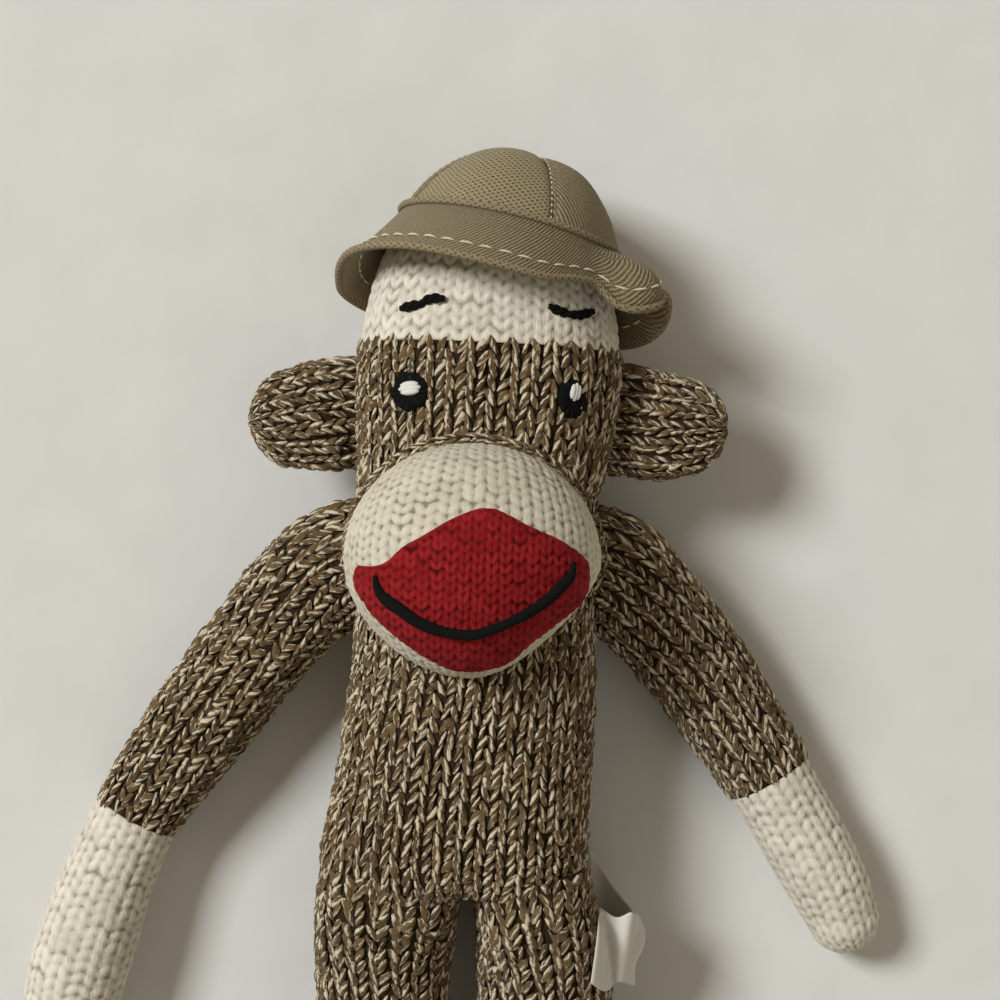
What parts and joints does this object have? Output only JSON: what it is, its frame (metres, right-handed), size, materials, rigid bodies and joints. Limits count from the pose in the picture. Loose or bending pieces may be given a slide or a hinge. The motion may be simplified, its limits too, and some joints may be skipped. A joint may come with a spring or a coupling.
{
  "type": "sock monkey doll",
  "caption": "Stuffed knit sock monkey doll in a twill safari hat, lying on its back with its arms out.",
  "frame": {"origin": "on the flat that the doll lies on, in the middle of its back", "axes": "+Y along the doll from its back to its head, +Z out of its belly, +X to the doll's own left as it faces up, which is the right of the picture"},
  "size_m": [0.1717, 0.2647, 0.0638],
  "materials": {
    "brown_marl_knit": "matt brown and cream marl stocking-stitch knit",
    "cream_knit": "matt cream stocking-stitch knit",
    "red_knit": "matt red knit",
    "black_yarn": "black embroidery yarn",
    "white_yarn": "white embroidery yarn",
    "white_fibre": "loose white polyester filling",
    "khaki_twill": "khaki cotton twill with a pale topstitch",
    "white_satin": "white satin ribbon, plain"
  },
  "bodies": {
    "trunk": {"torso_cover": "brown_marl_knit", "seat_heel": "red_knit", "torso_stuffing": "white_fibre"},
    "head": {"head_cover": "brown_marl_knit", "crown_cover": "cream_knit", "head_stuffing": "white_fibre", "muzzle_cover": "cream_knit", "muzzle_stuffing": "white_fibre", "mouth_patch": "red_knit", "smile_stitch": "black_yarn", "eye_left": "black_yarn", "eye_glint_left": "white_yarn", "eyebrow_left": "black_yarn", "eye_right": "black_yarn", "eye_glint_right": "white_yarn", "eyebrow_right": "black_yarn"},
    "ear_left": {"ear_cover_left": "brown_marl_knit", "ear_stuffing_left": "white_fibre"},
    "arm_left": {"arm_cover_left": "brown_marl_knit", "hand_cover_left": "cream_knit", "arm_stuffing_left": "white_fibre"},
    "leg_left": {"leg_cover_left": "brown_marl_knit", "foot_cover_left": "cream_knit", "leg_stuffing_left": "white_fibre"},
    "ear_right": {"ear_cover_right": "brown_marl_knit", "ear_stuffing_right": "white_fibre"},
    "arm_right": {"arm_cover_right": "brown_marl_knit", "hand_cover_right": "cream_knit", "arm_stuffing_right": "white_fibre"},
    "leg_right": {"leg_cover_right": "brown_marl_knit", "foot_cover_right": "cream_knit", "leg_stuffing_right": "white_fibre"},
    "tail": {"tail_cover": "brown_marl_knit", "tail_tip": "cream_knit", "tail_stuffing": "white_fibre"},
    "hat": {"hat_panel_1": "khaki_twill", "hat_panel_2": "khaki_twill", "hat_panel_3": "khaki_twill", "hat_panel_4": "khaki_twill", "hat_brim": "khaki_twill"},
    "label": {"care_label": "white_satin"}
  },
  "joints": [
    {"name": "neck_turn", "type": "hinge", "parent": "trunk", "child": "head", "pos_m": [0, 0.041, 0.02], "axis": [0, 1, 0], "range_deg": [-20, 20], "stiffness_Nm_per_rad": 0.05},
    {"name": "ear_fold_left", "type": "hinge", "parent": "head", "child": "ear_left", "pos_m": [-0.03, 0.0564, 0.0213], "axis": [0, 1, 0], "range_deg": [-30, 60], "stiffness_Nm_per_rad": 0.01},
    {"name": "ear_fold_right", "type": "hinge", "parent": "head", "child": "ear_right", "pos_m": [0.03, 0.0574, 0.0213], "axis": [0, 1, 0], "range_deg": [-60, 30], "stiffness_Nm_per_rad": 0.01},
    {"name": "hat_pull", "type": "slide", "parent": "head", "child": "hat", "axis": [0.1874, 0.9823, 0], "range_m": [0, 0.035]},
    {"name": "shoulder_swing_left", "type": "hinge", "parent": "trunk", "child": "arm_left", "pos_m": [-0.03015, 0.0272, 0.02025], "axis": [0, 1, 0], "range_deg": [-25, 70]},
    {"name": "shoulder_swing_right", "type": "hinge", "parent": "trunk", "child": "arm_right", "pos_m": [0.03015, 0.0272, 0.02025], "axis": [0, 1, 0], "range_deg": [-70, 25]},
    {"name": "hip_fold_left", "type": "hinge", "parent": "trunk", "child": "leg_left", "pos_m": [-0.0157, -0.0521, 0.0212], "axis": [-1, 0, 0], "range_deg": [0, 90]},
    {"name": "hip_fold_right", "type": "hinge", "parent": "trunk", "child": "leg_right", "pos_m": [0.0157, -0.0521, 0.0212], "axis": [-1, 0, 0], "range_deg": [0, 90]},
    {"name": "tail_swing", "type": "hinge", "parent": "trunk", "child": "tail", "pos_m": [-0.0095, -0.049, 0.003], "axis": [-1, 0, 0], "range_deg": [-75, 0]},
    {"name": "label_lift", "type": "hinge", "parent": "leg_right", "child": "label", "pos_m": [0.02645, -0.0499, 0.0142], "axis": [0, -1, 0], "range_deg": [-30, 50], "stiffness_Nm_per_rad": 0.001}
  ]
}
